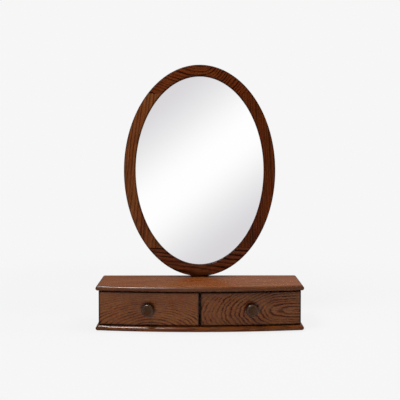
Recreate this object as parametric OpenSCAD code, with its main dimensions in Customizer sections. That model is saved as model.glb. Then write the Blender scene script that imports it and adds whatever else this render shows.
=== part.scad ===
// Dressing table mirror: an oval mirror that tilts on a post behind a bow-fronted case
// with two drawers. Lengths are in millimetres. X is to the right, the front faces -Y
// and Z is up. The origin is on the table, under the middle of the whole object.

/* [Case] */
// Width of the top and bottom boards over their rounded noses
board_w = 500; // [440:5:620]
// Depth of the boards at the middle of the bow
board_mid_d = 160; // [150:1:200]
// How far the bow stands forward of the boards' front corners
bow_rise = 19; // [8:0.5:26]
// Thickness of the top and bottom boards
board_t = 12; // [10:0.5:16]
// Height of the drawer opening between the boards
opening_h = 84; // [80:1:120]
// Overhang of the boards past the case sides
side_overhang = 6.5; // [3:0.5:12]
// Overhang of the boards past the drawer fronts
front_overhang = 7.5; // [3:0.5:12]
// Thickness of the side panels
side_t = 12; // [10:0.5:16]
// Thickness of the divider between the drawers
divider_t = 12; // [10:0.5:18]
// Thickness of the back panel
back_t = 10; // [8:0.5:14]

/* [Drawers] */
// Thickness of a drawer front at its outer end
front_end_t = 14; // [13:0.5:20]
// Gap between a drawer front and each board
front_gap = 1.75; // [1:0.25:3]
// Gap between the two drawer fronts
centre_gap = 3.6; // [2:0.2:6]
// Radius on the edges of the drawer fronts
front_edge_r = 2.5; // [1:0.25:4]
// Gap between a drawer front and the case edges, filled by the bumpers
bumper_gap = 1; // [0.8:0.1:2]
// Thickness of the drawer sides
box_side_t = 9; // [8:0.5:12]
// Thickness of the drawer back
box_back_t = 9; // [8:0.5:12]
// Thickness of the drawer bottom
box_bottom_t = 4; // [3:0.5:5]
// Height of the drawer bottom above the lower edges of the sides
bottom_rise = 6; // [5:0.5:10]
// Depth of the grooves that hold the drawer bottom
groove_d = 4; // [3:0.5:5]
// Gap on each side of a drawer box in its bay
side_play = 0.75; // [0.5:0.05:1.5]
// Gap under a drawer side
runner_play = 0.3; // [0.2:0.05:0.5]
// Gap behind a closed drawer
rear_play = 2; // [1:0.5:4]
// Gap between the drawer sides and the top board
side_drop = 6; // [5:0.5:10]
// Gap between the drawer back and the top board
back_drop = 1.6; // [1:0.2:2.4]
// How far a drawer pulls out before its back meets the stop
drawer_travel = 80; // [50:1:84]
// Width of a drawer stop block
stop_w = 30; // [20:1:50]
// Depth of a drawer stop block
stop_d = 8; // [6:0.5:10]

/* [Knobs] */
// Diameter of a knob
knob_d = 29; // [24:0.5:34]
// How far a knob stands out of its drawer front
knob_len = 23; // [20:0.5:28]
// Radius of the knob's rim
knob_rim_r = 3.6; // [2:0.2:4.4]
// Diameter of the knob's foot
knob_foot_d = 16; // [14:0.5:19]
// Diameter of the knob's waist
knob_waist_d = 11.5; // [10:0.5:13]
// Depth of the dish in the knob's face
knob_dish = 1; // [0.4:0.1:1.6]
// Diameter of the screw that holds a knob
knob_screw_d = 4; // [3:0.5:5]
// How far the knob screw reaches into the knob
knob_screw_grip = 13; // [8:0.5:16]

/* [Mirror] */
// Width of the oval frame
oval_w = 385; // [320:1:450]
// Height of the oval frame
oval_h = 538; // [470:1:640]
// Width of the frame's face
band_w = 29; // [26:0.5:40]
// Thickness of the frame
frame_t = 20; // [18:0.5:26]
// Radius on the frame's front edges
frame_edge_r = 2.5; // [1:0.25:4]
// Width of the rebate behind the frame
rebate_w = 10; // [8:0.5:12]
// Thickness of the lip in front of the glass
lip_t = 8; // [6:0.5:10]
// Thickness of the mirror glass
glass_t = 4; // [3:0.5:6]
// Gap between the glass and the rebate's wall
glass_play = 0.7; // [0.4:0.1:1.5]
// Gap between the backing board and the rebate's wall
backing_play = 0.4; // [0.2:0.1:1]
// Height of the frame's joints above and below its middle
joint_h = 196; // [170:1:205]
// Gap between the frame and the top board
frame_lift = 2; // [1.5:0.25:6]
// How far the frame's back stands in front of the case's back
frame_set = 4; // [4:0.25:8]

/* [Post and tilt] */
// Width of the post
post_w = 46; // [40:1:60]
// Thickness of the post
post_t = 20; // [18:1:28]
// Radius on the rear edges of the post
post_edge_r = 3; // [1:0.5:6]
// Height of the post's lower end above the underside of the case
post_foot_h = 8; // [4:1:16]
// Width of the fork's slot
slot_w = 12; // [10:0.5:16]
// How far the mirror tilts back
tilt_max = 25; // [5:1:30]
// Further tilt that the fork's floor would allow
tilt_spare = 1; // [0.5:0.5:3]
// Width of the bracket's plate
plate_w = 64; // [56:1:90]
// Height of the bracket's plate
plate_h = 80; // [60:1:120]
// Thickness of the bracket's plate
plate_t = 2.5; // [2:0.25:3]
// Half height of the bracket's lug at its stop corner
lug_half_h = 6; // [4.5:0.5:7]
// Diameter of the tilt bolt
bolt_d = 6; // [5:0.5:8]
// Thickness of the friction washers
friction_washer_t = 1.5; // [1:0.25:2]
// Diameter of the friction washers
friction_washer_d = 17; // [14:0.5:18]
// Diameter of the felt buffer between post and mirror
buffer_d = 14; // [8:1:16]

/* [Fasteners and felt] */
// Diameter of the dowels in the case
dowel_d = 6; // [5:0.5:6]
// Length of the dowels in the case
dowel_len = 28; // [20:1:32]
// Diameter of the dowels in the drawers
box_dowel_d = 5; // [4:0.5:5]
// Diameter of the dowels in the oval frame
frame_dowel_d = 8; // [6:0.5:8]
// Length of the dowels in the oval frame
frame_dowel_len = 36; // [24:1:40]
// Diameter of the screws under the case
base_screw_d = 4; // [3:0.5:5]
// Length of the screws under the case
base_screw_len = 36; // [24:1:50]
// Diameter of the screws through the post
post_screw_d = 5; // [4:0.5:6]
// Length of the screws through the post
post_screw_len = 60; // [44:1:64]
// Number of clips that hold the backing board
clip_count = 8; // [6:2:12]
// Diameter of the felt feet
foot_d = 20; // [14:1:30]
// Thickness of the felt feet
foot_t = 2; // [1.5:0.5:5]

/* [Hidden] */
$fn = 96;
// Facets on a full circle of the bow, of the ovals and of small rounds on them
bow_fn = 720;
oval_fn = 180;
edge_fn = 48;

// Finishes
stain = [0.36, 0.23, 0.15];
stain_dark = [0.28, 0.17, 0.11];
frame_stain = [0.33, 0.17, 0.09];
raw_wood = [0.78, 0.62, 0.43];
plywood = [0.70, 0.55, 0.38];
steel = [0.62, 0.62, 0.64];
black_metal = [0.12, 0.12, 0.13];
felt = [0.16, 0.14, 0.13];
silver = [0.86, 0.88, 0.90];
nylon = [0.90, 0.89, 0.85];

// Clearances: round parts in their holes, ends of blind holes, felt pads, turning faces
hole_play = 0.05;
end_play = 0.5;
pad_play = 0.1;
face_play = 0.05;
// Cuts run this far past the faces they open
past = 1;

// The bow: an arc through the middle and the corners of the boards' front edges
bow_r = (pow(board_w / 2, 2) + pow(bow_rise, 2)) / (2 * bow_rise);
bow_cy = bow_r - board_mid_d;
front_r = bow_r - front_overhang;
function bow_y(r, x) = bow_cy - sqrt(r * r - x * x);

// Heights and widths of the case, from the boards' underside
case_w = board_w - 2 * side_overhang;
bay_z = board_t;
top_z = board_t + opening_h;
case_h = top_z + board_t;
bay_x0 = divider_t / 2;
bay_x1 = case_w / 2 - side_t;

// Drawer fronts: bowed outside, flat inside
front_x0 = centre_gap / 2;
front_x1 = case_w / 2;
front_z0 = bay_z + front_gap;
front_z1 = top_z - front_gap;
front_in_y = bow_y(front_r, front_x1) + front_end_t;
case_front_y = front_in_y + bumper_gap;

// Drawer boxes
box_x0 = bay_x0 + side_play;
box_x1 = bay_x1 - side_play;
box_z0 = bay_z + runner_play;
box_z1 = top_z - side_drop;
box_back_y = -back_t - rear_play;
bottom_z = box_z0 + bottom_rise;
floor_z = bottom_z + box_bottom_t;
groove_end = 0.2;

// Drawer stops hang from the top board in front of the drawer backs
stop_y1 = box_back_y - box_back_t - drawer_travel - pad_play;
stop_h = side_drop - 0.6;

// Knobs stand on the middle of each front, square to the bow
knob_x = (front_x0 + front_x1) / 2;
knob_z = (front_z0 + front_z1) / 2;
knob_a = asin(knob_x / front_r);
knob_base_y = bow_y(front_r, knob_x);
knob_head_z = knob_len - knob_rim_r;
knob_rim_at = knob_d / 2 - knob_rim_r;
knob_reach = knob_head_z * cos(knob_a) + knob_rim_at * sin(knob_a) + knob_rim_r;
knob_screw_head_d = 2 * knob_screw_d;
knob_screw_head_h = 0.6 * knob_screw_d;
knob_bore_d = knob_screw_head_d + 1;
knob_bore_deep = 4;

// The oval frame and its tilt axis
oval_a = oval_w / 2;
oval_b = oval_h / 2;
open_a = oval_a - band_w;
open_b = oval_b - band_w;
frame_back_y = -frame_set;
oval_z = case_h + frame_lift + oval_b;
axis_y = post_t / 2;
backing_t = frame_t - lip_t - glass_t;
frame_dowel_out = (band_w - rebate_w) / 2;

// The fork's floor stops the lug's rear corner just past the largest tilt
lug_r = post_t / 2 - 1;
lug_corner_r = norm([lug_r, lug_half_h]);
lug_corner_a = atan(lug_half_h / lug_r);
slot_floor = lug_corner_r * sin(lug_corner_a + tilt_max + tilt_spare);
lug_w = slot_w - 2 * friction_washer_t - 2 * face_play;
cheek_x = post_w / 2;

// Fasteners
screw_slot_w = 1;
bolt_washer_t = 1.2;
bolt_washer_d = 2.2 * bolt_d;
bolt_head_d = 1.8 * bolt_d;
bolt_head_h = 0.65 * bolt_d;
bolt_tip = 2;
nut_h = 0.85 * bolt_d;
nut_d = 1.9 * bolt_d;
dowel_in_board = board_t - 3;
box_dowel_len = 22;
box_dowel_in_front = 9;
box_dowel_in_side = box_side_t - 2.5;
box_screw_d = 3;
box_screw_len = 16;
clip_l = 22;
clip_w = 12;
clip_t = 1.2;
clip_screw_d = 3;
clip_screw_len = 10;
bracket_screw_d = 3.5;
bracket_screw_len = plate_t + backing_t - 1.5;
buffer_t = frame_set - pad_play;
bumper_t = bumper_gap - pad_play;
bumper_d = min(side_t, divider_t) - 3;

// The whole object stands on the origin's plane, and its middle is over the origin
front_reach = max(board_mid_d, knob_reach - knob_base_y);
shift_y = (front_reach - post_t) / 2;

module placed() {
    translate([0, shift_y, foot_t]) children();
}

module both_sides() {
    for (s = [0, 1]) mirror([s, 0, 0]) children();
}

// A drawer's pieces are drawn on the right and mirrored to the left
module on_side(left) {
    mirror([left ? 1 : 0, 0, 0]) children();
}

// Countersunk screw: its head is flush at z = 0 and its shank runs up
module flush_screw(d, len) {
    head_h = d / 2;
    difference() {
        union() {
            cylinder(r1 = d, r2 = d / 2, h = head_h);
            cylinder(d = d, h = len - head_h);
            translate([0, 0, len - head_h]) cylinder(r1 = d / 2, r2 = d / 6, h = head_h);
        }
        translate([-d, -screw_slot_w / 2, -past]) cube([2 * d, screw_slot_w, past + head_h / 2]);
    }
}

module flush_hole(d, len) {
    head_h = d / 2;
    cylinder(r1 = d + hole_play, r2 = d / 2 + hole_play, h = head_h);
    cylinder(d = d + 2 * hole_play, h = len + end_play);
    translate([0, 0, -past]) cylinder(r = d + hole_play, h = past);
}

// Round-headed screw: its head sits below z = 0 and its shank runs up
module pan_screw(d, head_d, head_h, len) {
    difference() {
        union() {
            translate([0, 0, -head_h]) cylinder(r1 = head_d / 2 - head_h / 3, r2 = head_d / 2, h = head_h);
            cylinder(d = d, h = len);
        }
        translate([-head_d, -screw_slot_w / 2, -head_h - past])
            cube([2 * head_d, screw_slot_w, past + head_h / 2]);
    }
}

module pin_hole(d, len) {
    translate([0, 0, -end_play]) cylinder(d = d + 2 * hole_play, h = len + 2 * end_play);
}

// Dowel with chamfered ends, standing on z = 0
module dowel(d, len) {
    chamfer = d / 8;
    cylinder(r1 = d / 2 - chamfer, r2 = d / 2, h = chamfer);
    translate([0, 0, chamfer]) cylinder(d = d, h = len - 2 * chamfer);
    translate([0, 0, len - chamfer]) cylinder(r1 = d / 2, r2 = d / 2 - chamfer, h = chamfer);
}

module washer(d, hole_d, t) {
    difference() {
        cylinder(d = d, h = t);
        translate([0, 0, -past]) cylinder(d = hole_d, h = t + 2 * past);
    }
}

// Sweeps a profile of radius and height along the bow, from short of x0 to beyond x1
module along_bow(x0, x1) {
    spare = 2;
    start = asin(x0 / bow_r) - spare;
    end = asin(x1 / bow_r) + spare;
    translate([0, bow_cy, 0]) rotate([0, 0, start - 90])
        rotate_extrude(angle = end - start, $fn = bow_fn) children();
}

// Bow-fronted board with a full round nose at the front and on both sides
module bowed_board() {
    nose_r = board_t / 2;
    intersection() {
        along_bow(-board_w / 2, board_w / 2) {
            translate([bow_cy - past, 0]) square([board_mid_d + past - nose_r, board_t]);
            translate([bow_r - nose_r, nose_r]) circle(r = nose_r, $fn = edge_fn);
        }
        rotate([90, 0, 0]) linear_extrude(height = board_mid_d + past) {
            translate([nose_r - board_w / 2, 0]) square([board_w - board_t, board_t]);
            for (x = [-1, 1]) translate([x * (board_w / 2 - nose_r), nose_r]) circle(r = nose_r, $fn = edge_fn);
        }
    }
}

// Places of the case's dowels: two in each upright and two in the back panel
module at_case_dowels() {
    for (x = [-1, 0, 1]) for (y = [0.5, 0.84])
        translate([x * (case_w - side_t) / 2, y * case_front_y, top_z + dowel_in_board - dowel_len])
            children();
    for (x = [-1, 1])
        translate([x * case_w / 4, -back_t / 2, top_z + dowel_in_board - dowel_len]) children();
}

module at_base_screws() {
    for (x = [-1, 0, 1]) for (y = [0.5, 0.84])
        translate([x * (case_w - side_t) / 2, y * case_front_y, 0]) children();
    for (x = [-1, 1]) translate([x * case_w / 4, -back_t / 2, 0]) children();
}

// Post screws: three into the divider and a pair into the top board's edge
module at_post_screws() {
    for (k = [0.17, 0.5, 0.83])
        translate([0, post_t, bay_z + k * opening_h]) rotate([90, 0, 0]) children();
    for (x = [-1, 1])
        translate([x * post_w * 0.3, post_t, top_z + board_t / 2]) rotate([90, 0, 0]) children();
}

module top_board() {
    color(stain) placed() difference() {
        translate([0, 0, top_z]) bowed_board();
        at_case_dowels() pin_hole(dowel_d, dowel_len);
        at_post_screws() flush_hole(post_screw_d, post_screw_len);
    }
}

module bottom_board() {
    color(stain) placed() difference() {
        bowed_board();
        at_base_screws() flush_hole(base_screw_d, base_screw_len);
    }
}

module side_panel() {
    difference() {
        translate([bay_x1, case_front_y, bay_z]) cube([side_t, -case_front_y, opening_h]);
        at_case_dowels() pin_hole(dowel_d, dowel_len);
        at_base_screws() flush_hole(base_screw_d, base_screw_len);
    }
}

module side_panel_left() {
    color(stain) placed() on_side(true) side_panel();
}

module side_panel_right() {
    color(stain) placed() on_side(false) side_panel();
}

module centre_divider() {
    color(stain_dark) placed() difference() {
        translate([-divider_t / 2, case_front_y, bay_z])
            cube([divider_t, -case_front_y - back_t, opening_h]);
        at_case_dowels() pin_hole(dowel_d, dowel_len);
        at_base_screws() flush_hole(base_screw_d, base_screw_len);
        at_post_screws() flush_hole(post_screw_d, post_screw_len);
    }
}

module back_panel() {
    color(stain_dark) placed() difference() {
        translate([-bay_x1, -back_t, bay_z]) cube([2 * bay_x1, back_t, opening_h]);
        at_case_dowels() pin_hole(dowel_d, dowel_len);
        at_base_screws() flush_hole(base_screw_d, base_screw_len);
        at_post_screws() flush_hole(post_screw_d, post_screw_len);
    }
}

module case_dowels() {
    color(raw_wood) placed() at_case_dowels() dowel(dowel_d, dowel_len);
}

module base_screws() {
    color(steel) placed() at_base_screws() flush_screw(base_screw_d, base_screw_len);
}

module drawer_stops() {
    color(raw_wood) placed() both_sides()
        translate([(box_x0 + box_x1 - stop_w) / 2, stop_y1 - stop_d, top_z - stop_h])
            cube([stop_w, stop_d, stop_h]);
}

module drawer_bumpers() {
    color(felt) placed() for (x = [-1, 0, 1]) for (z = [0.2, 0.8])
        translate([x * (case_w - side_t) / 2, case_front_y, bay_z + z * opening_h])
            rotate([90, 0, 0]) cylinder(d = bumper_d, h = bumper_t);
}

// The front feet stand behind the bow's corners
module felt_feet() {
    inset = foot_d / 2 + 8;
    color(felt) placed() for (x = [-1, 1]) for (y = [-inset, bow_rise + inset - board_mid_d])
        translate([x * (board_w / 2 - board_t - inset), y, -foot_t])
            cylinder(d = foot_d, h = foot_t);
}

// Plan of a drawer front: flat inside, bowed outside, with rounded upright edges
module front_plan() {
    r = front_edge_r;
    core_r = front_r - r;
    intersection() {
        translate([0, bow_cy]) circle(r = front_r, $fn = bow_fn);
        translate([front_x0 + r, bow_y(front_r, 0) - past])
            square([front_x1 - front_x0 - 2 * r, front_in_y - bow_y(front_r, 0) + past]);
    }
    for (x = [front_x0 + r, front_x1 - r]) {
        translate([x, bow_y(core_r, x)]) circle(r = r);
        translate([x - r, bow_y(core_r, x)]) square([2 * r, front_in_y - bow_y(core_r, x)]);
    }
}

// Band that rounds the upper and lower edges of a drawer front along the bow
module front_band() {
    h = front_z1 - front_z0;
    r = front_edge_r;
    translate([0, 0, front_z0]) along_bow(front_x0, front_x1) {
        translate([front_r - board_mid_d, 0]) square([board_mid_d - r, h]);
        translate([front_r - r - past, r]) square([past + r, h - 2 * r]);
        for (z = [r, h - r]) translate([front_r - r, z]) circle(r = r, $fn = edge_fn);
    }
}

module at_knob() {
    translate([knob_x, knob_base_y, knob_z]) rotate([0, 0, knob_a]) rotate([90, 0, 0]) children();
}

// Distance from the knob's base to the seat of its screw, inside the front
function knob_seat() = (front_in_y - knob_base_y) / cos(knob_a) - knob_bore_deep;

// Dowels from the drawer front into the sides, and from the sides into the back
module at_box_front_dowels() {
    for (x = [box_x0 + box_side_t / 2, box_x1 - box_side_t / 2]) for (z = [0.3, 0.8])
        translate([x, front_in_y - box_dowel_in_front, box_z0 + z * (box_z1 - box_z0)])
            rotate([-90, 0, 0]) children();
}

module at_box_back_dowels() {
    for (z = [0.35, 0.8])
        translate([0, box_back_y - box_back_t / 2, box_z0 + z * (box_z1 - box_z0)]) {
            translate([box_x0 + box_side_t - box_dowel_in_side, 0, 0]) rotate([0, 90, 0]) children();
            translate([box_x1 - box_side_t + box_dowel_in_side, 0, 0]) rotate([0, -90, 0]) children();
        }
}

module at_bottom_screws() {
    for (k = [0.15, 0.5, 0.85])
        translate([box_x0 + k * (box_x1 - box_x0), box_back_y - box_back_t / 2, bottom_z]) children();
}

module bottom_groove() {
    translate([box_x0 + box_side_t - groove_d, front_in_y - groove_d, bottom_z])
        cube([box_x1 - box_x0 - 2 * (box_side_t - groove_d), -front_in_y, box_bottom_t]);
}

module drawer_front() {
    difference() {
        intersection() {
            translate([0, 0, front_z0]) linear_extrude(height = front_z1 - front_z0) front_plan();
            front_band();
        }
        at_knob() rotate([180, 0, 0]) {
            translate([0, 0, -past]) cylinder(d = knob_screw_d + 1, h = knob_seat() + 2 * past);
            translate([0, 0, knob_seat()]) cylinder(d = knob_bore_d, h = 3 * knob_bore_deep);
        }
        at_box_front_dowels() pin_hole(box_dowel_d, box_dowel_len);
        bottom_groove();
    }
}

module drawer_side(x) {
    difference() {
        translate([x, front_in_y, box_z0])
            cube([box_side_t, box_back_y - front_in_y, box_z1 - box_z0]);
        at_box_front_dowels() pin_hole(box_dowel_d, box_dowel_len);
        at_box_back_dowels() pin_hole(box_dowel_d, box_dowel_len);
        bottom_groove();
    }
}

module drawer_back() {
    difference() {
        translate([box_x0 + box_side_t, box_back_y - box_back_t, floor_z])
            cube([box_x1 - box_x0 - 2 * box_side_t, box_back_t, top_z - back_drop - floor_z]);
        at_box_back_dowels() pin_hole(box_dowel_d, box_dowel_len);
        at_bottom_screws() pin_hole(box_screw_d, box_screw_len);
    }
}

module drawer_bottom() {
    in_x = box_side_t - groove_d + groove_end;
    in_y = front_in_y - groove_d + groove_end;
    difference() {
        translate([box_x0 + in_x, in_y, bottom_z])
            cube([box_x1 - box_x0 - 2 * in_x, box_back_y - in_y, box_bottom_t]);
        at_bottom_screws() pin_hole(box_screw_d, box_screw_len);
    }
}

module drawer_dowels() {
    at_box_front_dowels() dowel(box_dowel_d, box_dowel_len);
    at_box_back_dowels() dowel(box_dowel_d, box_dowel_len);
}

module drawer_bottom_screws() {
    at_bottom_screws() pan_screw(box_screw_d, 2 * box_screw_d, 0.6 * box_screw_d, box_screw_len);
}

// Turned knob: a flared foot, a narrow waist and a round-rimmed head with a dished face
module knob() {
    foot_r = knob_foot_d / 2;
    waist_r = knob_waist_d / 2;
    cove_r = foot_r - waist_r + 1.5;
    cove_z = cove_r + 0.8;
    under_z = knob_head_z - knob_rim_r;
    dish_edge = knob_rim_at;
    dish_r = (pow(dish_edge, 2) + pow(knob_dish, 2)) / (2 * knob_dish);
    difference() {
        rotate_extrude() difference() {
            union() {
                square([foot_r, under_z]);
                polygon([[0, under_z - 2], [foot_r, under_z - 2], [knob_rim_at, under_z],
                    [knob_rim_at, knob_len], [0, knob_len]]);
                translate([knob_rim_at, knob_head_z]) circle(r = knob_rim_r);
            }
            translate([waist_r + cove_r, cove_z]) circle(r = cove_r);
            translate([waist_r, cove_z]) square([cove_r + past, under_z - 2 - cove_z]);
            translate([0, knob_len - knob_dish + dish_r]) circle(r = dish_r, $fn = bow_fn);
        }
        translate([0, 0, -past])
            cylinder(d = knob_screw_d + 2 * hole_play, h = past + knob_screw_grip + end_play);
    }
}

module drawer_knob() {
    at_knob() knob();
}

module drawer_knob_screw() {
    at_knob() translate([0, 0, -knob_seat()])
        pan_screw(knob_screw_d, knob_screw_head_d, knob_screw_head_h, knob_seat() + knob_screw_grip);
}

module drawer_left_front() {
    color(stain) placed() on_side(true) drawer_front();
}

module drawer_left_side_outer() {
    color(raw_wood) placed() on_side(true) drawer_side(box_x1 - box_side_t);
}

module drawer_left_side_inner() {
    color(raw_wood) placed() on_side(true) drawer_side(box_x0);
}

module drawer_left_back() {
    color(raw_wood) placed() on_side(true) drawer_back();
}

module drawer_left_bottom() {
    color(plywood) placed() on_side(true) drawer_bottom();
}

module drawer_left_dowels() {
    color(raw_wood) placed() on_side(true) drawer_dowels();
}

module drawer_left_bottom_screws() {
    color(steel) placed() on_side(true) drawer_bottom_screws();
}

module drawer_left_knob() {
    color(stain_dark) placed() on_side(true) drawer_knob();
}

module drawer_left_knob_screw() {
    color(steel) placed() on_side(true) drawer_knob_screw();
}

module drawer_right_front() {
    color(stain) placed() on_side(false) drawer_front();
}

module drawer_right_side_outer() {
    color(raw_wood) placed() on_side(false) drawer_side(box_x1 - box_side_t);
}

module drawer_right_side_inner() {
    color(raw_wood) placed() on_side(false) drawer_side(box_x0);
}

module drawer_right_back() {
    color(raw_wood) placed() on_side(false) drawer_back();
}

module drawer_right_bottom() {
    color(plywood) placed() on_side(false) drawer_bottom();
}

module drawer_right_dowels() {
    color(raw_wood) placed() on_side(false) drawer_dowels();
}

module drawer_right_bottom_screws() {
    color(steel) placed() on_side(false) drawer_bottom_screws();
}

module drawer_right_knob() {
    color(stain_dark) placed() on_side(false) drawer_knob();
}

module drawer_right_knob_screw() {
    color(steel) placed() on_side(false) drawer_knob_screw();
}

// The mirror's own frame of reference: z = 0 is the frame's back, z = frame_t its front,
// x runs across and y runs up from the oval's middle
module in_mirror() {
    placed() translate([0, frame_back_y, oval_z]) rotate([90, 0, 0]) children();
}

module oval_plate(a, b, t) {
    scale([1, b / a, 1]) cylinder(r = a, h = t, $fn = oval_fn);
}

// Oval blank with a rounded front edge
module oval_blank() {
    r = frame_edge_r;
    scale([1, oval_b / oval_a, 1]) rotate_extrude($fn = oval_fn) {
        square([oval_a, frame_t - r]);
        square([oval_a - r, frame_t]);
        translate([oval_a - r, frame_t - r]) circle(r = r, $fn = edge_fn);
    }
}

// The sight opening, which leaves the frame's inner front edge rounded
module oval_opening() {
    r = frame_edge_r;
    scale([1, open_b / open_a, 1]) rotate_extrude($fn = oval_fn) {
        translate([0, -past]) square([open_a, frame_t + 2 * past]);
        difference() {
            translate([0, frame_t - r]) square([open_a + r, r + past]);
            translate([open_a + r, frame_t - r]) circle(r = r, $fn = edge_fn);
        }
    }
}

// Dowels cross the frame's joints along the band, in the wood outside the rebate
joint_a = oval_a - frame_dowel_out;
joint_b = oval_b - frame_dowel_out;
joint_x = joint_a * sqrt(1 - pow(joint_h / joint_b, 2));
joint_lean = atan(joint_a * joint_a * joint_h / (joint_b * joint_b * joint_x));
module at_frame_dowels() {
    for (u = [0, 1]) for (v = [0, 1]) mirror([u, 0, 0]) mirror([0, v, 0])
        translate([joint_x, joint_h, frame_t / 2]) rotate([-90, 0, 0]) rotate([0, -joint_lean, 0])
            translate([0, 0, -frame_dowel_len / 2]) children();
}

// Clips stand around the rebate, clear of the frame's joints and the post
function clip_angle(i) = 360 / clip_count * (i + 0.5);
module at_clips() {
    a = open_a + rebate_w;
    b = open_b + rebate_w;
    for (i = [0 : clip_count - 1]) {
        t = clip_angle(i);
        translate([a * cos(t), b * sin(t), 0]) rotate([0, 0, atan2(a * sin(t), b * cos(t))]) children();
    }
}

module at_bracket_screws() {
    for (x = [-1, 1]) for (y = [-1, 1])
        translate([x * (plate_w / 2 - 6), y * (plate_h / 2 - 8), -plate_t]) children();
}

module frame_ring() {
    difference() {
        oval_blank();
        oval_opening();
        translate([0, 0, -past])
            oval_plate(open_a + rebate_w, open_b + rebate_w, frame_t - lip_t + past);
        at_frame_dowels() pin_hole(frame_dowel_d, frame_dowel_len);
        at_clips() translate([clip_l / 4, 0, -clip_t]) pin_hole(clip_screw_d, clip_screw_len);
    }
}

module frame_segment(v0, v1, u0, u1) {
    color(frame_stain) in_mirror() intersection() {
        frame_ring();
        translate([u0, v0, -past]) cube([u1 - u0, v1 - v0, frame_t + 2 * past]);
    }
}

module frame_top() {
    frame_segment(joint_h, oval_b + past, -oval_a, oval_a);
}

module frame_bottom() {
    frame_segment(-oval_b - past, -joint_h, -oval_a, oval_a);
}

module frame_left() {
    frame_segment(-joint_h, joint_h, -oval_a - past, 0);
}

module frame_right() {
    frame_segment(-joint_h, joint_h, 0, oval_a + past);
}

module frame_dowels() {
    color(raw_wood) in_mirror() at_frame_dowels() dowel(frame_dowel_d, frame_dowel_len);
}

module mirror_glass() {
    play = rebate_w - glass_play;
    color(silver) in_mirror() translate([0, 0, backing_t])
        oval_plate(open_a + play, open_b + play, glass_t);
}

module backing_board() {
    play = rebate_w - backing_play;
    color(plywood) in_mirror() difference() {
        oval_plate(open_a + play, open_b + play, backing_t);
        at_bracket_screws() pin_hole(bracket_screw_d, bracket_screw_len);
    }
}

module backing_clips() {
    color(steel) in_mirror() at_clips() difference() {
        translate([-clip_l / 2, -clip_w / 2, -clip_t]) cube([clip_l, clip_w, clip_t]);
        translate([clip_l / 4, 0, -clip_t]) pin_hole(clip_screw_d, clip_screw_len);
    }
}

module clip_screws() {
    color(steel) in_mirror() at_clips() translate([clip_l / 4, 0, -clip_t])
        pan_screw(clip_screw_d, 2 * clip_screw_d, 0.6 * clip_screw_d, clip_screw_len);
}

// Cast bracket: a plate on the backing board and a lug that turns in the post's fork.
// The lug's rear corner meets the fork's floor just past the largest tilt.
module pivot_bracket() {
    reach = frame_set + axis_y - plate_t;
    color(black_metal) in_mirror() difference() {
        union() {
            translate([-plate_w / 2, -plate_h / 2, -plate_t]) cube([plate_w, plate_h, plate_t]);
            translate([-lug_w / 2, 0, -plate_t - reach]) rotate([0, 90, 0])
                cylinder(r = lug_r, h = lug_w);
            translate([-lug_w / 2, -lug_half_h, -plate_t - reach - lug_r])
                cube([lug_w, 2 * lug_half_h, reach + lug_r + plate_t / 2]);
        }
        translate([-lug_w, 0, -plate_t - reach]) rotate([0, 90, 0])
            cylinder(d = bolt_d + 2 * hole_play, h = 2 * lug_w);
        at_bracket_screws() flush_hole(bracket_screw_d, bracket_screw_len);
    }
}

module bracket_screws() {
    color(steel) in_mirror() at_bracket_screws() flush_screw(bracket_screw_d, bracket_screw_len);
}

module post_plan() {
    r = post_edge_r;
    translate([-post_w / 2, 0]) square([post_w, post_t - r]);
    translate([r - post_w / 2, 0]) square([post_w - 2 * r, post_t]);
    for (x = [-1, 1]) translate([x * (post_w / 2 - r), post_t - r]) circle(r = r);
}

// Side view of the post: straight up to the tilt axis and round above it
module post_side() {
    translate([0, post_foot_h]) square([post_t, oval_z - post_foot_h]);
    translate([axis_y, oval_z]) circle(d = post_t);
}

module at_axis() {
    translate([0, axis_y, oval_z]) rotate([0, 90, 0]) children();
}

module mirror_post() {
    color(stain_dark) placed() difference() {
        intersection() {
            linear_extrude(height = oval_z + post_t) post_plan();
            translate([-post_w / 2, 0, 0]) rotate([90, 0, 90])
                linear_extrude(height = post_w) post_side();
        }
        translate([-slot_w / 2, -past, oval_z - slot_floor])
            cube([slot_w, post_t + 2 * past, slot_floor + post_t]);
        at_axis() translate([0, 0, -post_w]) cylinder(d = bolt_d + 2 * hole_play, h = 2 * post_w);
        at_post_screws() flush_hole(post_screw_d, post_screw_len);
    }
}

module post_screws() {
    color(steel) placed() at_post_screws() flush_screw(post_screw_d, post_screw_len);
}

module tilt_bolt() {
    tip_x = cheek_x + bolt_washer_t + nut_h + bolt_tip;
    head_x = -cheek_x - bolt_washer_t;
    color(black_metal) placed() at_axis() difference() {
        union() {
            translate([0, 0, head_x]) cylinder(d = bolt_d, h = tip_x - head_x);
            translate([0, 0, head_x - bolt_head_h])
                cylinder(r1 = bolt_head_d / 2 - bolt_head_h / 3, r2 = bolt_head_d / 2, h = bolt_head_h);
        }
        translate([0, 0, head_x - bolt_head_h - past])
            cylinder(d = 0.75 * bolt_d, h = past + bolt_head_h / 2, $fn = 6);
    }
}

module tilt_nut() {
    color(black_metal) placed() at_axis() translate([0, 0, cheek_x + bolt_washer_t]) difference() {
        cylinder(d = nut_d, h = nut_h, $fn = 6);
        translate([0, 0, -past]) cylinder(d = bolt_d + 2 * hole_play, h = nut_h + 2 * past);
    }
}

module bolt_washers() {
    color(steel) placed() at_axis() {
        translate([0, 0, cheek_x]) washer(bolt_washer_d, bolt_d + 2 * hole_play, bolt_washer_t);
        translate([0, 0, -cheek_x - bolt_washer_t])
            washer(bolt_washer_d, bolt_d + 2 * hole_play, bolt_washer_t);
    }
}

module friction_washers() {
    color(nylon) placed() at_axis() {
        translate([0, 0, slot_w / 2 - friction_washer_t])
            washer(friction_washer_d, bolt_d + 2 * hole_play, friction_washer_t);
        translate([0, 0, -slot_w / 2])
            washer(friction_washer_d, bolt_d + 2 * hole_play, friction_washer_t);
    }
}

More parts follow.
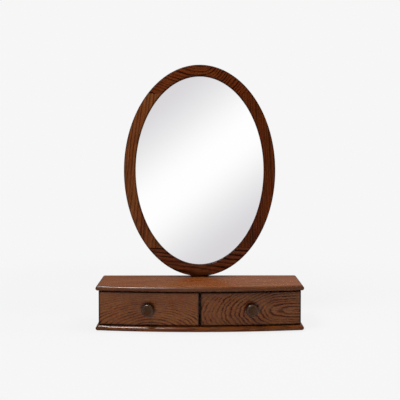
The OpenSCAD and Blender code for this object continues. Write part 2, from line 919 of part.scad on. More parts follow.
// Felt pad on the post, behind the bottom of the frame
module mirror_buffer() {
    color(felt) placed()
        translate([0, 0, case_h + frame_lift + (band_w - rebate_w) / 2]) rotate([90, 0, 0])
            cylinder(d = buffer_d, h = buffer_t);
}

top_board();
bottom_board();
side_panel_left();
side_panel_right();
centre_divider();
back_panel();
case_dowels();
base_screws();
drawer_stops();
drawer_bumpers();
felt_feet();
drawer_left_front();
drawer_left_side_outer();
drawer_left_side_inner();
drawer_left_back();
drawer_left_bottom();
drawer_left_dowels();
drawer_left_bottom_screws();
drawer_left_knob();
drawer_left_knob_screw();
drawer_right_front();
drawer_right_side_outer();
drawer_right_side_inner();
drawer_right_back();
drawer_right_bottom();
drawer_right_dowels();
drawer_right_bottom_screws();
drawer_right_knob();
drawer_right_knob_screw();
frame_top();
frame_bottom();
frame_left();
frame_right();
frame_dowels();
mirror_glass();
backing_board();
backing_clips();
clip_screws();
pivot_bracket();
bracket_screws();
mirror_post();
post_screws();
tilt_bolt();
tilt_nut();
bolt_washers();
friction_washers();
mirror_buffer();
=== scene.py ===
import math

import bmesh
import bpy
from mathutils import Matrix, Vector, noise


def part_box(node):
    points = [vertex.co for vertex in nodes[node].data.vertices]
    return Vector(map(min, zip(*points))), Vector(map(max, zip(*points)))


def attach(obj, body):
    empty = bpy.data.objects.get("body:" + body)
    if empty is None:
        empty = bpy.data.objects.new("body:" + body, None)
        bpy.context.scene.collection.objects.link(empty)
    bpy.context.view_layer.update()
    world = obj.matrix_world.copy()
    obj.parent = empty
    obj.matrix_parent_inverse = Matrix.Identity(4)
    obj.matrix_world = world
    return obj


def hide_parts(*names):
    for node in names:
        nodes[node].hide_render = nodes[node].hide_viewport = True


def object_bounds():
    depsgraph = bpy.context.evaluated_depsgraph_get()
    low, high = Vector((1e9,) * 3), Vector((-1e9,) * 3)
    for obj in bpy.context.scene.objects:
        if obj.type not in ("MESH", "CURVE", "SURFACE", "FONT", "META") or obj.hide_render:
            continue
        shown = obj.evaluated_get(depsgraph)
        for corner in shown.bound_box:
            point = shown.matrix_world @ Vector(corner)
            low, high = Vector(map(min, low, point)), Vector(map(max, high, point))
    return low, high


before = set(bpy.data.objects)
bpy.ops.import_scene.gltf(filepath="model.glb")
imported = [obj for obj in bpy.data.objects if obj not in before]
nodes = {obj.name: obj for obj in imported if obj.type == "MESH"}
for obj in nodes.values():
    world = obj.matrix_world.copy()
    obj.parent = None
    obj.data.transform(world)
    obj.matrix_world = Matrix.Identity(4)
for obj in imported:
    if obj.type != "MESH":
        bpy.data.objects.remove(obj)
cadLow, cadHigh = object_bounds()
scene = bpy.context.scene
scene.view_settings.view_transform = "Standard"
print("frame loaded:", len(nodes), "pieces")


# Node helpers: a socket given as an input is linked, anything else is set as its value
def addNode(tree, kind, settings, inputs):
    made = tree.nodes.new(kind)
    for key, value in settings.items():
        setattr(made, key, value)
    for key, value in inputs.items():
        if isinstance(value, bpy.types.NodeSocket):
            tree.links.new(value, made.inputs[key])
        else:
            made.inputs[key].default_value = value
    return made


def calc(tree, operation, a, b=0.0):
    return addNode(tree, "ShaderNodeMath", {"operation": operation}, {0: a, 1: b}).outputs[0]


def vectorCalc(tree, operation, a, b):
    made = addNode(tree, "ShaderNodeVectorMath", {"operation": operation}, {0: a, 1: b})
    return made.outputs["Value" if operation in ("DOT_PRODUCT", "LENGTH") else "Vector"]


def scaled(tree, vector, factor):
    inputs = {0: vector, "Scale": factor}
    return addNode(tree, "ShaderNodeVectorMath", {"operation": "SCALE"}, inputs).outputs["Vector"]


def remap(tree, value, fromLow, fromHigh, toLow=0.0, toHigh=1.0, shape="SMOOTHSTEP"):
    inputs = {"Value": value, "From Min": fromLow, "From Max": fromHigh, "To Min": toLow, "To Max": toHigh}
    return addNode(tree, "ShaderNodeMapRange", {"interpolation_type": shape}, inputs).outputs["Result"]


def mixColour(tree, factor, a, b, blend="MIX"):
    settings = {"data_type": "RGBA", "blend_type": blend}
    return addNode(tree, "ShaderNodeMix", settings, {0: factor, 6: a, 7: b}).outputs[2]


# Each layer is a shader with the factor by which it covers the ones before it
def layered(tree, shown, layers):
    for factor, shader in layers:
        shown = addNode(tree, "ShaderNodeMixShader", {}, {0: factor, 1: shown, 2: shader}).outputs[0]
    return shown


def addNoise(tree, place, scale, detail=2.0, roughness=0.5, output="Fac"):
    inputs = {"Vector": place, "Scale": scale, "Detail": detail, "Roughness": roughness}
    return addNode(tree, "ShaderNodeTexNoise", {}, inputs).outputs[output]


def addRamp(tree, factor, stops, interpolation="EASE"):
    made = addNode(tree, "ShaderNodeValToRGB", {}, {"Fac": factor})
    made.color_ramp.interpolation = interpolation
    while len(made.color_ramp.elements) < len(stops):
        made.color_ramp.elements.new(0.5)
    for element, (position, colour) in zip(made.color_ramp.elements, stops):
        element.position = position
        element.color = (*colour, 1)
    return made.outputs["Color"]


# Colours are given as they look on a screen, 0 to 255
def screenColour(red, green, blue):
    def linear(level):
        part = level / 255
        return part / 12.92 if part <= 0.04045 else ((part + 0.055) / 1.055) ** 2.4
    return (linear(red), linear(green), linear(blue), 1)


def newMaterial(name, inputs):
    material = bpy.data.materials.new(name)
    material.use_nodes = True
    tree = material.node_tree
    shader = tree.nodes["Principled BSDF"]
    for key, value in inputs.items():
        shader.inputs[key].default_value = value
    place = addNode(tree, "ShaderNodeTexCoord", {}, {}).outputs["Object"]
    return material, tree, shader, place


def dress(name, material):
    nodes[name].data.materials.clear()
    nodes[name].data.materials.append(material)


# Camera and surroundings
view = {
    "distance": 1.841,  # from the middle of the object to the lens, along Y
    "height": 0.4534,
    "side": -0.008,  # the object's left side is a little nearer
    "turn": 0.27,  # degrees, to the right
    "lens": 67.1,
    "shift": -0.09,
    "pitch": 1.66,  # degrees, down
}


def makeCamera():
    data = bpy.data.cameras.new("camera")
    data.lens = view["lens"]
    data.sensor_width = 36
    data.shift_y = view["shift"]
    camera = bpy.data.objects.new("camera", data)
    camera.location = (view["side"], -view["distance"], view["height"])
    camera.rotation_euler = (math.radians(90 - view["pitch"]), 0, -math.radians(view["turn"]))
    scene.collection.objects.link(camera)
    scene.camera = camera


studio = {
    "background": screenColour(246, 246, 246),
    "ambient": 0.27,
    "bandGrey": screenColour(216, 214, 217),  # what the glass shows beside its white band
    "bandWhite": screenColour(255, 255, 255),
    "bandSlope": (0.62, 0, -0.785),  # the band runs from lower left to upper right
    "bandMiddle": 0.0301,
    "bandReach": (-0.115, 0.108),  # from the middle to plain grey, on either side
    "bandFull": (0.493, 0.55),  # the part of that reach where the white is whole
    "front": 0.08,  # the room as satin wood and metal show it
    "behind": 0.14,
    "roomReach": (-0.3, 0.6),
    "sideShare": 0.4,  # the room's right is this much brighter than its middle
    "sideReach": 0.25,
}


# 1 for a ray that the glass sends straight back to the eye. The wood's gleam of the glass isn't one
def sharpView(tree, path):
    sharp = calc(tree, "MULTIPLY", path.outputs["Is Glossy Ray"], path.outputs["Is Singular Ray"])
    return calc(tree, "MULTIPLY", sharp, calc(tree, "LESS_THAN", path.outputs["Glossy Depth"], 1.5))


def makeWorld():
    world = bpy.data.worlds.new("studio")
    world.use_nodes = True
    scene.world = world
    tree = world.node_tree
    tree.nodes.clear()
    direction = addNode(tree, "ShaderNodeTexCoord", {}, {}).outputs["Generated"]
    across = vectorCalc(tree, "DOT_PRODUCT", direction, studio["bandSlope"])
    across = calc(tree, "SUBTRACT", across, studio["bandMiddle"])
    grey, white = studio["bandGrey"][:3], studio["bandWhite"][:3]
    stops = [(0.0, grey), (studio["bandFull"][0], white), (studio["bandFull"][1], white), (1.0, grey)]
    band = addRamp(tree, remap(tree, across, *studio["bandReach"], shape="LINEAR"), stops)
    split = addNode(tree, "ShaderNodeSeparateXYZ", {}, {0: direction})
    level = remap(tree, split.outputs["Y"], *studio["roomReach"], studio["front"], studio["behind"])
    side = remap(tree, split.outputs["X"], -studio["sideReach"], studio["sideReach"],
                 1 - studio["sideShare"], 1 + studio["sideShare"])
    level = calc(tree, "MULTIPLY", level, side)
    path = addNode(tree, "ShaderNodeLightPath", {}, {})

    def background(colour, strength):
        return addNode(tree, "ShaderNodeBackground", {}, {"Color": colour, "Strength": strength}).outputs[0]

    shown = layered(tree, background((1, 1, 1, 1), studio["ambient"]), (
        (path.outputs["Is Glossy Ray"], background((1, 1, 1, 1), level)),
        (sharpView(tree, path), background(band, 1.0)),
        (path.outputs["Is Camera Ray"], background(studio["background"], 1.0)),
    ))
    addNode(tree, "ShaderNodeOutputWorld", {}, {"Surface": shown})


floor = {
    "size": 60.0,
    "drop": 0.0001,  # how far the floor lies beneath the feet
    "litShare": 0.06,  # share of the floor's tone that a shadow darkens, near the object
    "level": 1.72,  # how bright the lamps and the room make the open floor
    "fadeFrom": 0.5,  # metres from the object to where the shadows start to fade out
    "fadeTo": 1.3,
    "paper": (0.9, 0.9, 0.9, 1),
    "gleamNear": (0.16, 0.16, 0.16, 1),  # the paper as the satin wood shows it, close in front of the case, darker there as painted shade
    "gleam": (0.25, 0.25, 0.25, 1),  # and farther out
    "gleamReach": (0.12, 0.26),
}


def makeFloor():
    bm = bmesh.new()
    bmesh.ops.create_grid(bm, x_segments=1, y_segments=1, size=floor["size"] / 2)
    bmesh.ops.translate(bm, verts=bm.verts, vec=(0, 0, -floor["drop"]))
    mesh = bpy.data.meshes.new("floor")
    bm.to_mesh(mesh)
    bm.free()
    piece = bpy.data.objects.new("floor", mesh)
    scene.collection.objects.link(piece)
    material = bpy.data.materials.new("floor")
    material.use_nodes = True
    mesh.materials.append(material)
    tree = material.node_tree
    tree.nodes.clear()
    place = addNode(tree, "ShaderNodeTexCoord", {}, {}).outputs["Object"]
    away = vectorCalc(tree, "LENGTH", place, (0, 0, 0))
    share = remap(tree, away, floor["fadeFrom"], floor["fadeTo"], floor["litShare"], 0.0)
    own = calc(tree, "SUBTRACT", 1.0, calc(tree, "MULTIPLY", share, floor["level"]))
    glow = addNode(tree, "ShaderNodeEmission", {}, {"Color": studio["background"], "Strength": own})
    lit = scaled(tree, studio["background"][:3], share)
    shaded = addNode(tree, "ShaderNodeBsdfDiffuse", {}, {"Color": lit})
    both = addNode(tree, "ShaderNodeAddShader", {}, {0: glow.outputs[0], 1: shaded.outputs[0]})
    path = addNode(tree, "ShaderNodeLightPath", {}, {})
    ahead = vectorCalc(tree, "DOT_PRODUCT", place, (0, -1, 0))
    gleam = mixColour(tree, remap(tree, ahead, *floor["gleamReach"]), floor["gleamNear"], floor["gleam"])
    tint = mixColour(tree, path.outputs["Is Glossy Ray"], floor["paper"], gleam)
    shown = addNode(tree, "ShaderNodeBsdfDiffuse", {}, {"Color": tint}).outputs[0]
    below = addNode(tree, "ShaderNodeNewGeometry", {}, {}).outputs["Backfacing"]
    below = calc(tree, "MAXIMUM", below, calc(tree, "GREATER_THAN", path.outputs["Transparent Depth"], 0.5))
    clear = addNode(tree, "ShaderNodeBsdfTransparent", {}, {}).outputs[0]
    # The mirror looks through the floor to the band of light, and a view from below sees the underside
    shown = layered(tree, shown, (
        (sharpView(tree, path), clear), (path.outputs["Is Camera Ray"], both.outputs[0]), (below, clear),
    ))
    addNode(tree, "ShaderNodeOutputMaterial", {}, {"Surface": shown})


lamps = {
    "key": {"at": (-0.7, -0.75, 1.85), "size": (0.7, 0.8), "power": 38, "gleams": True},
    "front": {"at": (-0.8, -2.0, 0.4), "size": (1.0, 0.7), "power": 9, "gleams": False},
    "top": {"at": (1.0, -0.1, 1.9), "size": (1.2, 0.9), "power": 34, "gleams": False},
    "rear": {"at": (0.6, 1.6, 1.3), "size": (1.2, 1.0), "power": 7, "gleams": False},
}


def makeLamps():
    aim = (cadLow + cadHigh) / 2
    for name, spec in lamps.items():
        data = bpy.data.lights.new(name, "AREA")
        data.shape = "RECTANGLE"
        data.size, data.size_y = spec["size"]
        data.energy = spec["power"]
        lamp = bpy.data.objects.new(name, data)
        lamp.visible_glossy = spec["gleams"]
        lamp.location = spec["at"]
        lamp.rotation_euler = (aim - Vector(spec["at"])).to_track_quat("-Z", "Y").to_euler()
        scene.collection.objects.link(lamp)


# The frame's oval
oval = {
    "half": (0.1925, 0.269),  # half its width and half its height
    "band": 0.029,
    "middle": 0.381,  # height of its middle over the ground
}


# Distances to the outer and the inner rim of the frame
def ovalRims(tree, place):
    centred = vectorCalc(tree, "SUBTRACT", place, (0, 0, oval["middle"]))
    distances = []
    for inset, way in ((0.0, -1.0), (oval["band"], 1.0)):
        half = [size - inset for size in oval["half"]]
        flat = vectorCalc(tree, "MULTIPLY", centred, (1 / half[0], 0, 1 / half[1]))
        out = calc(tree, "SUBTRACT", vectorCalc(tree, "LENGTH", flat, (0, 0, 0)), 1.0)
        distances.append(calc(tree, "MULTIPLY", out, way * half[0]))
    return distances


# Distances to sides of a piece's box. "X-" is its left side
def boxRims(tree, place, name, sides):
    split = addNode(tree, "ShaderNodeSeparateXYZ", {}, {0: place})
    corners = dict(zip("-+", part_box(name)))
    distances = []
    for axis, end in sides:
        away = calc(tree, "SUBTRACT", split.outputs[axis], corners[end]["XYZ".index(axis)])
        distances.append(calc(tree, "ABSOLUTE", away))
    return distances


# Distance from a knob's axis, measured over the drawer's front
def fromKnob(tree, place, node):
    low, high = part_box(node)
    centred = vectorCalc(tree, "SUBTRACT", place, (low + high) / 2)
    flat = vectorCalc(tree, "MULTIPLY", centred, (1, 0, 1))
    return vectorCalc(tree, "LENGTH", flat, (0, 0, 0))


# What all the wood has in common. A triple is how often a noise changes in a metre, along and across the log
timber = {
    "sway": (2.5, 9.0, 9.0),
    "ripple": (22.0, 70.0, 70.0),
    "tear": (60.0, 650.0, 650.0),
    "strength": (9.0, 60.0, 60.0),
    "fibre": (12.0, 380.0, 380.0),
    "pore": (70.0, 1100.0, 1100.0),
    "cloud": (6.0, 22.0, 22.0),
    "patch": (20.8, 58.5, 58.5),
    "season": 55.0,
    "seasonDrift": 1.5,  # rings by which good and poor years shift the later ones
    "ringStart": (0.0, 0.12),  # shares of a ring over which its open wood begins, and ends
    "ringEnd": (0.2, 0.6),
    "weakest": 0.45,  # how much shows of a ring's faintest stretches
    "faint": 0.35,  # and of the rings in the calm part of a board
    "poreEdge": (0.54, 0.66),
    "latePores": 0.25,  # share of pores in the dense wood
    "poreRough": 0.2,
    "earlyRough": 0.05,
    "grainGloss": 0.15,  # polish left in the open grain
    "earlyDepth": 0.25,  # depth of the open wood as a share of a pore's
    "poreHeight": 0.0002,
    "edgeTurn": 0.88,  # cosine of the turn at which an edge's painted shade is darkest
    # cosines of a board's nose over which its painted shade sets in
    "noseTurn": (0.95, 0.998),
    "knobShadowReach": (0.012, 0.022),  # distances from a knob's axis over which the painted shadow round the knob fades out
    "knobShadowTone": 0.2,
}


def logNoise(tree, place, kind, detail, roughness=0.5, output="Fac"):
    stretched = vectorCalc(tree, "MULTIPLY", place, timber[kind])
    return addNoise(tree, stretched, 1.0, detail, roughness, output)


# Place in the log, which runs along "grain" through "heart". "face" is the way the board's show side looks
def logPlace(tree, place, look):
    grain = Vector(look["grain"]).normalized()
    face = Vector(look["face"])
    face = (face - face.project(grain)).normalized()
    turned = Matrix((grain, face, grain.cross(face))).transposed().to_euler()
    mapping = {"Vector": place, "Location": look["heart"], "Rotation": turned}
    log = addNode(tree, "ShaderNodeMapping", {"vector_type": "TEXTURE"}, mapping).outputs[0]
    if look["taper"]:
        along = calc(tree, "MAXIMUM", vectorCalc(tree, "DOT_PRODUCT", log, (1, 0, 0)), 0.0)
        rise = calc(tree, "MULTIPLY", along, look["taper"])
        rise = addNode(tree, "ShaderNodeCombineXYZ", {}, {"Y": rise}).outputs[0]
        log = vectorCalc(tree, "ADD", log, rise)
    return log


# The same place, moved by broad bends, small waves and torn fibres
def bentPlace(tree, log, look):
    bent = log
    for kind, detail in (("sway", 1.0), ("ripple", 2.0), ("tear", 1.0)):
        wave = logNoise(tree, log, kind, detail, output="Color")
        wave = scaled(tree, vectorCalc(tree, "SUBTRACT", wave, (0.5, 0.5, 0.5)), look[kind])
        bent = vectorCalc(tree, "ADD", bent, wave)
    return bent


# The open wood at the start of each ring, 0 to 1
def earlyWood(tree, log, bent, look):
    radius = vectorCalc(tree, "LENGTH", vectorCalc(tree, "MULTIPLY", bent, (0, 1, 1)), (0, 0, 0))
    seasons = addNode(tree, "ShaderNodeTexNoise", {"noise_dimensions": "1D"},
                      {"W": radius, "Scale": timber["season"], "Detail": 1.0}).outputs["Fac"]
    count = calc(tree, "DIVIDE", radius, look["ringGap"])
    if look["tighten"]:  # the rings narrow outwards
        narrowing = remap(tree, radius, 0.0, 1.0, 1.0, 1.0 + look["tighten"], "LINEAR")
        count = calc(tree, "MULTIPLY", count, narrowing)
    count = calc(tree, "ADD", count, calc(tree, "MULTIPLY", seasons, timber["seasonDrift"]))
    ring = calc(tree, "FRACT", count)
    starting = remap(tree, ring, *timber["ringStart"])
    early = calc(tree, "MULTIPLY", starting, remap(tree, ring, *timber["ringEnd"], 1.0, 0.0))
    strength = logNoise(tree, log, "strength", 1.0)
    early = calc(tree, "MULTIPLY", early, remap(tree, strength, 0.3, 0.6, timber["weakest"], 1.0))
    if look["calm"]:  # the rings grow faint beyond this radius
        fading = remap(tree, radius, look["calm"], 2 * look["calm"], 1.0, timber["faint"])
        early = calc(tree, "MULTIPLY", early, fading)
    return early


def openPores(tree, bent, early):
    spots = remap(tree, logNoise(tree, bent, "pore", 1.0), *timber["poreEdge"])
    share = calc(tree, "MULTIPLY", early, 1.0 - timber["latePores"])
    return calc(tree, "MULTIPLY", spots, calc(tree, "ADD", share, timber["latePores"]))


def woodTone(tree, log, bent, early, pores, look):
    tone = mixColour(tree, calc(tree, "MULTIPLY", early, look["contrast"]), look["light"], look["dark"])
    cloud = remap(tree, logNoise(tree, log, "cloud", 2.0, 0.55), 0.35, 0.7)
    tone = mixColour(tree, cloud, tone, look["cloud"], "MULTIPLY")
    patch = remap(tree, logNoise(tree, log, "patch", 1.0), 0.45, 0.7)
    tone = mixColour(tree, patch, tone, look["warm"], "MULTIPLY")
    fibres = logNoise(tree, bent, "fibre", 3.0, 0.6)
    streak = remap(tree, fibres, 0.3, 0.7, 1.0 - look["streak"], 1.0 + look["streak"])
    filled = calc(tree, "MULTIPLY", pores, look["poreDepth"])
    return mixColour(tree, filled, scaled(tree, tone, streak), look["pore"])


# Painted shade: darkened edges and rims, a darkened routed nose on a board, and a painted shadow round the
# foot of a knob
def paintedShade(tree, place, name, look, tone):
    # Painted shade: darker where the surface turns over an edge
    if look["edge"]:
        flat = addNode(tree, "ShaderNodeNewGeometry", {}, {}).outputs["Normal"]
        eased = addNode(tree, "ShaderNodeBevel", {"samples": 6}, {"Radius": look["edgeWidth"]}).outputs[0]
        turn = vectorCalc(tree, "DOT_PRODUCT", flat, eased)
        near = remap(tree, turn, 1.0, timber["edgeTurn"], 0.0, look["edge"], "LINEAR")
        tone = scaled(tree, tone, calc(tree, "SUBTRACT", 1.0, near))
    facing = addNode(tree, "ShaderNodeTexCoord", {}, {}).outputs["Normal"]
    facing = calc(tree, "ABSOLUTE", vectorCalc(tree, "DOT_PRODUCT", facing, look["face"]))
    # Painted shade along the rims of the frame and the drawer fronts
    if look["rim"] == "oval":
        rims = ovalRims(tree, place)
    else:
        rims = boxRims(tree, place, name, look["rim"])
    for away in rims:
        near = remap(tree, away, 0.0, look["rimWidth"], 1.0 - look["rimTone"], 0.0)
        near = calc(tree, "MULTIPLY", near, remap(tree, facing, 0.2, 0.9, 0.4, 1.0))
        tone = scaled(tree, tone, calc(tree, "SUBTRACT", 1.0, near))
    # Painted shade: the rounded nose of a board is darker
    if look["nose"] < 1.0:
        tone = scaled(tree, tone, remap(tree, facing, *timber["noseTurn"], look["nose"], 1.0))
    # Painted shadow round the foot of each knob, on the drawer's front
    if look["knob"]:
        away = fromKnob(tree, place, look["knob"])
        tone = scaled(tree, tone, remap(tree, away, *timber["knobShadowReach"], timber["knobShadowTone"], 1.0))
    return tone


# Stained wood: growth rings round a leaning log, open pores and fibres, all cut from the solid
def woodFinish(name, look):
    material, tree, shader, place = newMaterial(name, {"IOR": 1.5, "Specular IOR Level": look["sheen"]})
    log = logPlace(tree, place, look)
    bent = bentPlace(tree, log, look)
    early = earlyWood(tree, log, bent, look)
    pores = openPores(tree, bent, early)
    tone = woodTone(tree, log, bent, early, pores, look)
    tree.links.new(paintedShade(tree, place, name, look, tone), shader.inputs["Base Color"])

    rough = calc(tree, "ADD", look["roughness"], calc(tree, "MULTIPLY", pores, timber["poreRough"]))
    rough = calc(tree, "ADD", rough, calc(tree, "MULTIPLY", early, timber["earlyRough"]))
    tree.links.new(rough, shader.inputs["Roughness"])
    # The open grain holds less polish than the dense wood between it
    dull = calc(tree, "MULTIPLY", pores, look["poreDepth"])
    dull = calc(tree, "MAXIMUM", calc(tree, "MULTIPLY", early, look["contrast"]), dull)
    polish = remap(tree, dull, 0.0, 1.0, 1.0, timber["grainGloss"], "LINEAR")
    tree.links.new(polish, shader.inputs["Specular Tint"])
    height = calc(tree, "SUBTRACT", calc(tree, "MULTIPLY", pores, -1.0),
                  calc(tree, "MULTIPLY", early, timber["earlyDepth"]))
    inputs = {"Height": height, "Strength": look["relief"], "Distance": timber["poreHeight"]}
    tree.links.new(addNode(tree, "ShaderNodeBump", {}, inputs).outputs[0], shader.inputs["Normal"])
    return material


# Stains. "light" is the dense wood and "dark" the open wood, and "cloud" and "warm" tint patches of it.
# "sway", "ripple" and "tear" are lengths by which the rings wander, and "taper" leans them along the log
plainCut = {
    "taper": 0.0, "tighten": 0.0, "calm": 0.0, "edge": 0.0, "rim": (), "nose": 1.0, "knob": None,
}
caseStain = {
    **plainCut,
    "light": screenColour(98, 51, 15), "dark": screenColour(46, 20, 6), "pore": screenColour(28, 11, 3),
    "cloud": screenColour(238, 230, 222), "warm": screenColour(255, 236, 220),
    "contrast": 0.95, "poreDepth": 0.7, "streak": 0.2,
    "ringGap": 0.0062, "sway": 0.012, "ripple": 0.005, "tear": 0.0045,
    "roughness": 0.22, "sheen": 0.5, "relief": 0.25,
    # edge, edgeWidth, rimWidth and rimTone set the painted shade along edges and rims
    "edge": 0.8, "edgeWidth": 0.006, "rimWidth": 0.005, "rimTone": 0.12,
}
frameStain = {
    **plainCut,
    "light": screenColour(81, 35, 5), "dark": screenColour(24, 7, 0), "pore": screenColour(18, 6, 0),
    "cloud": screenColour(236, 220, 210), "warm": screenColour(255, 236, 200),
    "contrast": 1.0, "poreDepth": 0.7, "streak": 0.3,
    "ringGap": 0.0068, "sway": 0.024, "ripple": 0.004, "tear": 0.0015,
    "roughness": 0.34, "sheen": 0.12, "relief": 0.5,
    # the oval rim darkening is painted shade
    "rim": "oval", "rimWidth": 0.0035, "rimTone": 0.3,
}
knobStain = {
    **caseStain,
    "light": screenColour(56, 37, 24), "dark": screenColour(36, 22, 13),
    "contrast": 0.5, "ringGap": 0.003, "roughness": 0.19, "sheen": 0.6, "edge": 0.0,
}
rawBeech = {
    **plainCut,
    "light": screenColour(214, 184, 144), "dark": screenColour(190, 156, 114),
    "pore": screenColour(150, 112, 74),
    "cloud": screenColour(246, 240, 232), "warm": screenColour(255, 246, 236),
    "contrast": 0.6, "poreDepth": 0.5, "streak": 0.07,
    "ringGap": 0.009, "sway": 0.01, "ripple": 0.002, "tear": 0.002,
    "roughness": 0.55, "sheen": 0.4, "relief": 0.3,
}

front, up = (0, -1, 0), (0, 0, 1)
cuts = {
    "top_board": (caseStain, {"heart": (0.3, 0.0, -0.02), "grain": (1, 0.05, 0.04), "face": up,
                              "light": screenColour(115, 64, 28), "contrast": 0.2, "streak": 0.1,
                              "poreDepth": 0.25, "relief": 0.1, "roughness": 0.25, "nose": 0.45}),
    "bottom_board": (caseStain, {"heart": (-0.3, 0.02, -0.08), "grain": (1, -0.04, 0.05), "face": up,
                                 "contrast": 0.5, "roughness": 0.16, "nose": 0.75}),
    "side_panel_left": (caseStain, {"heart": (-0.3, 0.02, 0.02), "grain": (0, 1, 0.05), "face": (-1, 0, 0)}),
    "side_panel_right": (caseStain, {"heart": (0.3, 0.0, 0.03), "grain": (0, 1, -0.05), "face": (1, 0, 0)}),
    "centre_divider": (caseStain, {"heart": (0.05, 0.0, 0.03), "grain": (0, 1, 0.05), "face": (1, 0, 0)}),
    "back_panel": (caseStain, {"heart": (0.1, 0.13, 0.05), "grain": (1, 0.05, 0.02), "face": front}),
    "mirror_post": (caseStain, {"heart": (0.02, 0.14, 0.2), "grain": (0, 0.05, 1), "face": front}),
    # The left front's light tone is lighter than the right's: partly the board's own, partly painted light
    # from the left
    "drawer_left_front": (caseStain, {"heart": (-0.128, -0.064, -0.003), "grain": (1, -0.6, 0), "face": front,
                                      "light": screenColour(98, 54, 18), "dark": screenColour(48, 19, 4),
                                      "ringGap": 0.0068, "tighten": 3.0, "calm": 0.055, "tear": 0.003,
                                      "contrast": 1.0, "knob": "drawer_left_knob",
                                      "rim": ("X-", "X+", "Z-", "Z+")}),
    "drawer_right_front": (caseStain, {"heart": (0.182, -0.0566, 0.05), "grain": (1, -0.4, 0), "face": front,
                                       "light": screenColour(90, 48, 13), "dark": screenColour(50, 21, 4),
                                       "ringGap": 0.0075, "tighten": 6.0, "taper": 0.3, "tear": 0.0035,
                                       "contrast": 1.0, "knob": "drawer_right_knob",
                                       "rim": ("X-", "X+", "Z-", "Z+")}),
    "drawer_left_knob": (knobStain, {"heart": (-0.118, -0.05, 0.045), "grain": (0.1, 1, 0.05), "face": up}),
    "drawer_right_knob": (knobStain, {"heart": (0.118, -0.05, 0.045), "grain": (0.1, 1, 0.05), "face": up}),
    "frame_top": (frameStain, {"heart": (0.005, 0.0518, 0.662), "grain": (1, -0.5, 0), "face": front,
                               "taper": -0.5, "light": screenColour(79, 33, 5)}),
    "frame_bottom": (frameStain, {"heart": (-0.05, 0.1, 0.1), "grain": (1, 0.12, 0.02), "face": front,
                                  "light": screenColour(82, 37, 15)}),
    # frame_left's tones are painted lighter and frame_right's darker, as light falls from the left
    "frame_left": (frameStain, {"heart": (-0.33, 0.07, 0.45), "grain": (0.1, 0.03, 1), "face": front,
                                "light": screenColour(89, 48, 19), "dark": screenColour(52, 22, 5),
                                "ringGap": 0.009, "contrast": 0.75}),
    "frame_right": (frameStain, {"heart": (0.33, 0.08, 0.25), "grain": (-0.04, 0.03, 1), "face": front,
                                 "light": screenColour(70, 28, 3), "contrast": 0.6}),
}


def dressWood():
    for name, (stain, cut) in cuts.items():
        if stain is not knobStain:
            dress(name, woodFinish(name, {**stain, **cut}))
    inside = [n for n in nodes if "_side_" in n or n.endswith("_back") or "dowel" in n or n == "drawer_stops"]
    for name in inside:
        low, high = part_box(name)
        spot = (low + high) / 2
        cut = {"heart": (spot.x, spot.y + 0.06, spot.z - 0.05), "grain": (1, 0.03, 0.02), "face": front}
        if "_side_" in name:
            cut["grain"] = (0.02, 1, 0.03)
            cut["face"] = (1, 0, 0)
        dress(name, woodFinish(name, {**rawBeech, **cut}))


glass = {
    "silver": screenColour(254, 254, 254),
    "edge": screenColour(138, 166, 154),
    "paint": screenColour(104, 108, 114),  # the coat over the silver, on the back
    "paintThin": screenColour(120, 122, 126),
    "brush": (9.0, 1.0, 160.0),  # how often the brush's strokes change in a metre
    "turn": (0.5, 0.9),  # cosines between the edge's tone and a face's
}


def dressGlass():
    material, tree, shader, place = newMaterial("mirror_glass", {"Roughness": 0.0})
    facing = addNode(tree, "ShaderNodeTexCoord", {}, {}).outputs["Normal"]
    silvered = remap(tree, vectorCalc(tree, "DOT_PRODUCT", facing, front), *glass["turn"])
    painted = remap(tree, vectorCalc(tree, "DOT_PRODUCT", facing, (0, 1, 0)), *glass["turn"])
    strokes = addNoise(tree, vectorCalc(tree, "MULTIPLY", place, glass["brush"]), 1.0, 2.0)
    coat = mixColour(tree, remap(tree, strokes, 0.35, 0.65), glass["paint"], glass["paintThin"])
    tone = mixColour(tree, painted, glass["edge"], coat)
    tree.links.new(mixColour(tree, silvered, tone, glass["silver"]), shader.inputs["Base Color"])
    tree.links.new(silvered, shader.inputs["Metallic"])
    dress("mirror_glass", material)


# Plywood: a birch face, and darker layers where an edge shows
plywood = {
    "face": screenColour(206, 178, 138),
    "layer": screenColour(128, 90, 56),
    "veneer": 0.0013,
    "ringGap": 0.012,
    "sway": 0.03,
    "heart": (0.02, 0.3, 0.1),
    "upright": (0.02, 0.1, 1),  # grain of the board behind the glass, and of the drawers' bottoms
    "lying": (1, 0.02, 0.1),
}


def plywoodFinish(name, grain, layersAlong):
    cut = {"heart": plywood["heart"], "grain": grain, "face": front, "light": plywood["face"],
           "ringGap": plywood["ringGap"], "sway": plywood["sway"]}
    material = woodFinish(name, {**rawBeech, **cut})
    tree = material.node_tree
    shader = tree.nodes["Principled BSDF"]
    tone = shader.inputs["Base Color"].links[0].from_socket
    coords = addNode(tree, "ShaderNodeTexCoord", {}, {})
    across = addNode(tree, "ShaderNodeSeparateXYZ", {}, {0: coords.outputs["Object"]}).outputs[layersAlong]
    facing = addNode(tree, "ShaderNodeSeparateXYZ", {}, {0: coords.outputs["Normal"]}).outputs[layersAlong]
    onEdge = remap(tree, calc(tree, "ABSOLUTE", facing), 0.4, 0.6, 1.0, 0.0)
    layer = calc(tree, "PINGPONG", across, plywood["veneer"])
    layer = remap(tree, layer, 0.35 * plywood["veneer"], 0.65 * plywood["veneer"])
    tone = mixColour(tree, calc(tree, "MULTIPLY", onEdge, layer), tone, plywood["layer"])
    tree.links.new(tone, shader.inputs["Base Color"])
    return material


def dressPlywood():
    dress("backing_board", plywoodFinish("backing_board", plywood["upright"], "Y"))
    for name in ("drawer_left_bottom", "drawer_right_bottom"):
        dress(name, plywoodFinish(name, plywood["lying"], "Z"))


